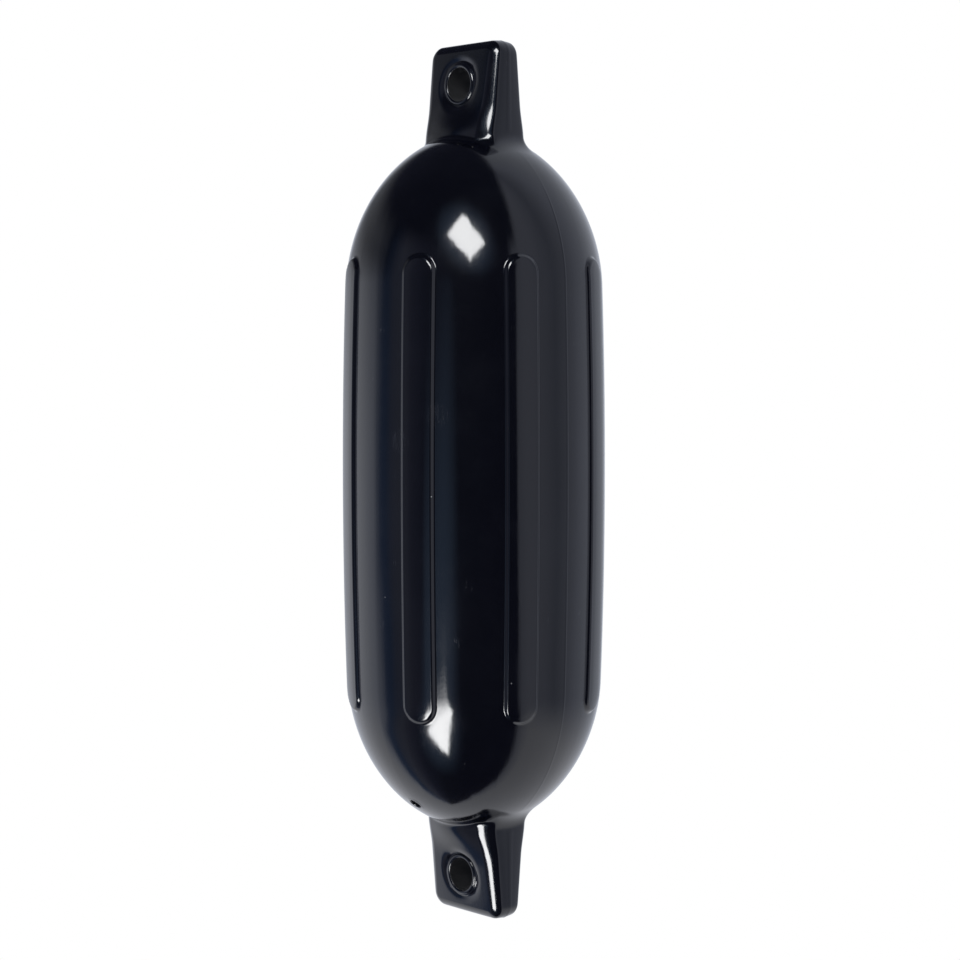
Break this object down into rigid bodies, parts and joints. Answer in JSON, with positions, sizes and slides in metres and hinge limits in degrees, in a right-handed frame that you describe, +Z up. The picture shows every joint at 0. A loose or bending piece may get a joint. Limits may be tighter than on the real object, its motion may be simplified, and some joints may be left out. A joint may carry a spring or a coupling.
{
  "type": "inflatable boat fender",
  "caption": "Hollow moulded vinyl boat fender: ribbed barrel with domed ends, a flat rope eye at each end and a needle valve in the lower dome.",
  "frame": {"origin": "middle of the upper eye's rope hole, which holds the fender up", "axes": "+Z up along the fender's length, Y along the rope holes (the valve is on the -Y side), X across the width of the eyes"},
  "size_m": [0.1684, 0.1684, 0.559],
  "materials": {
    "gloss_vinyl": "glossy near-black soft vinyl, with a faint blue tint",
    "valve_rubber": "smooth black rubber"
  },
  "bodies": {
    "root": {"fender_body": "gloss_vinyl", "inflation_valve": "valve_rubber"}
  },
  "joints": []
}
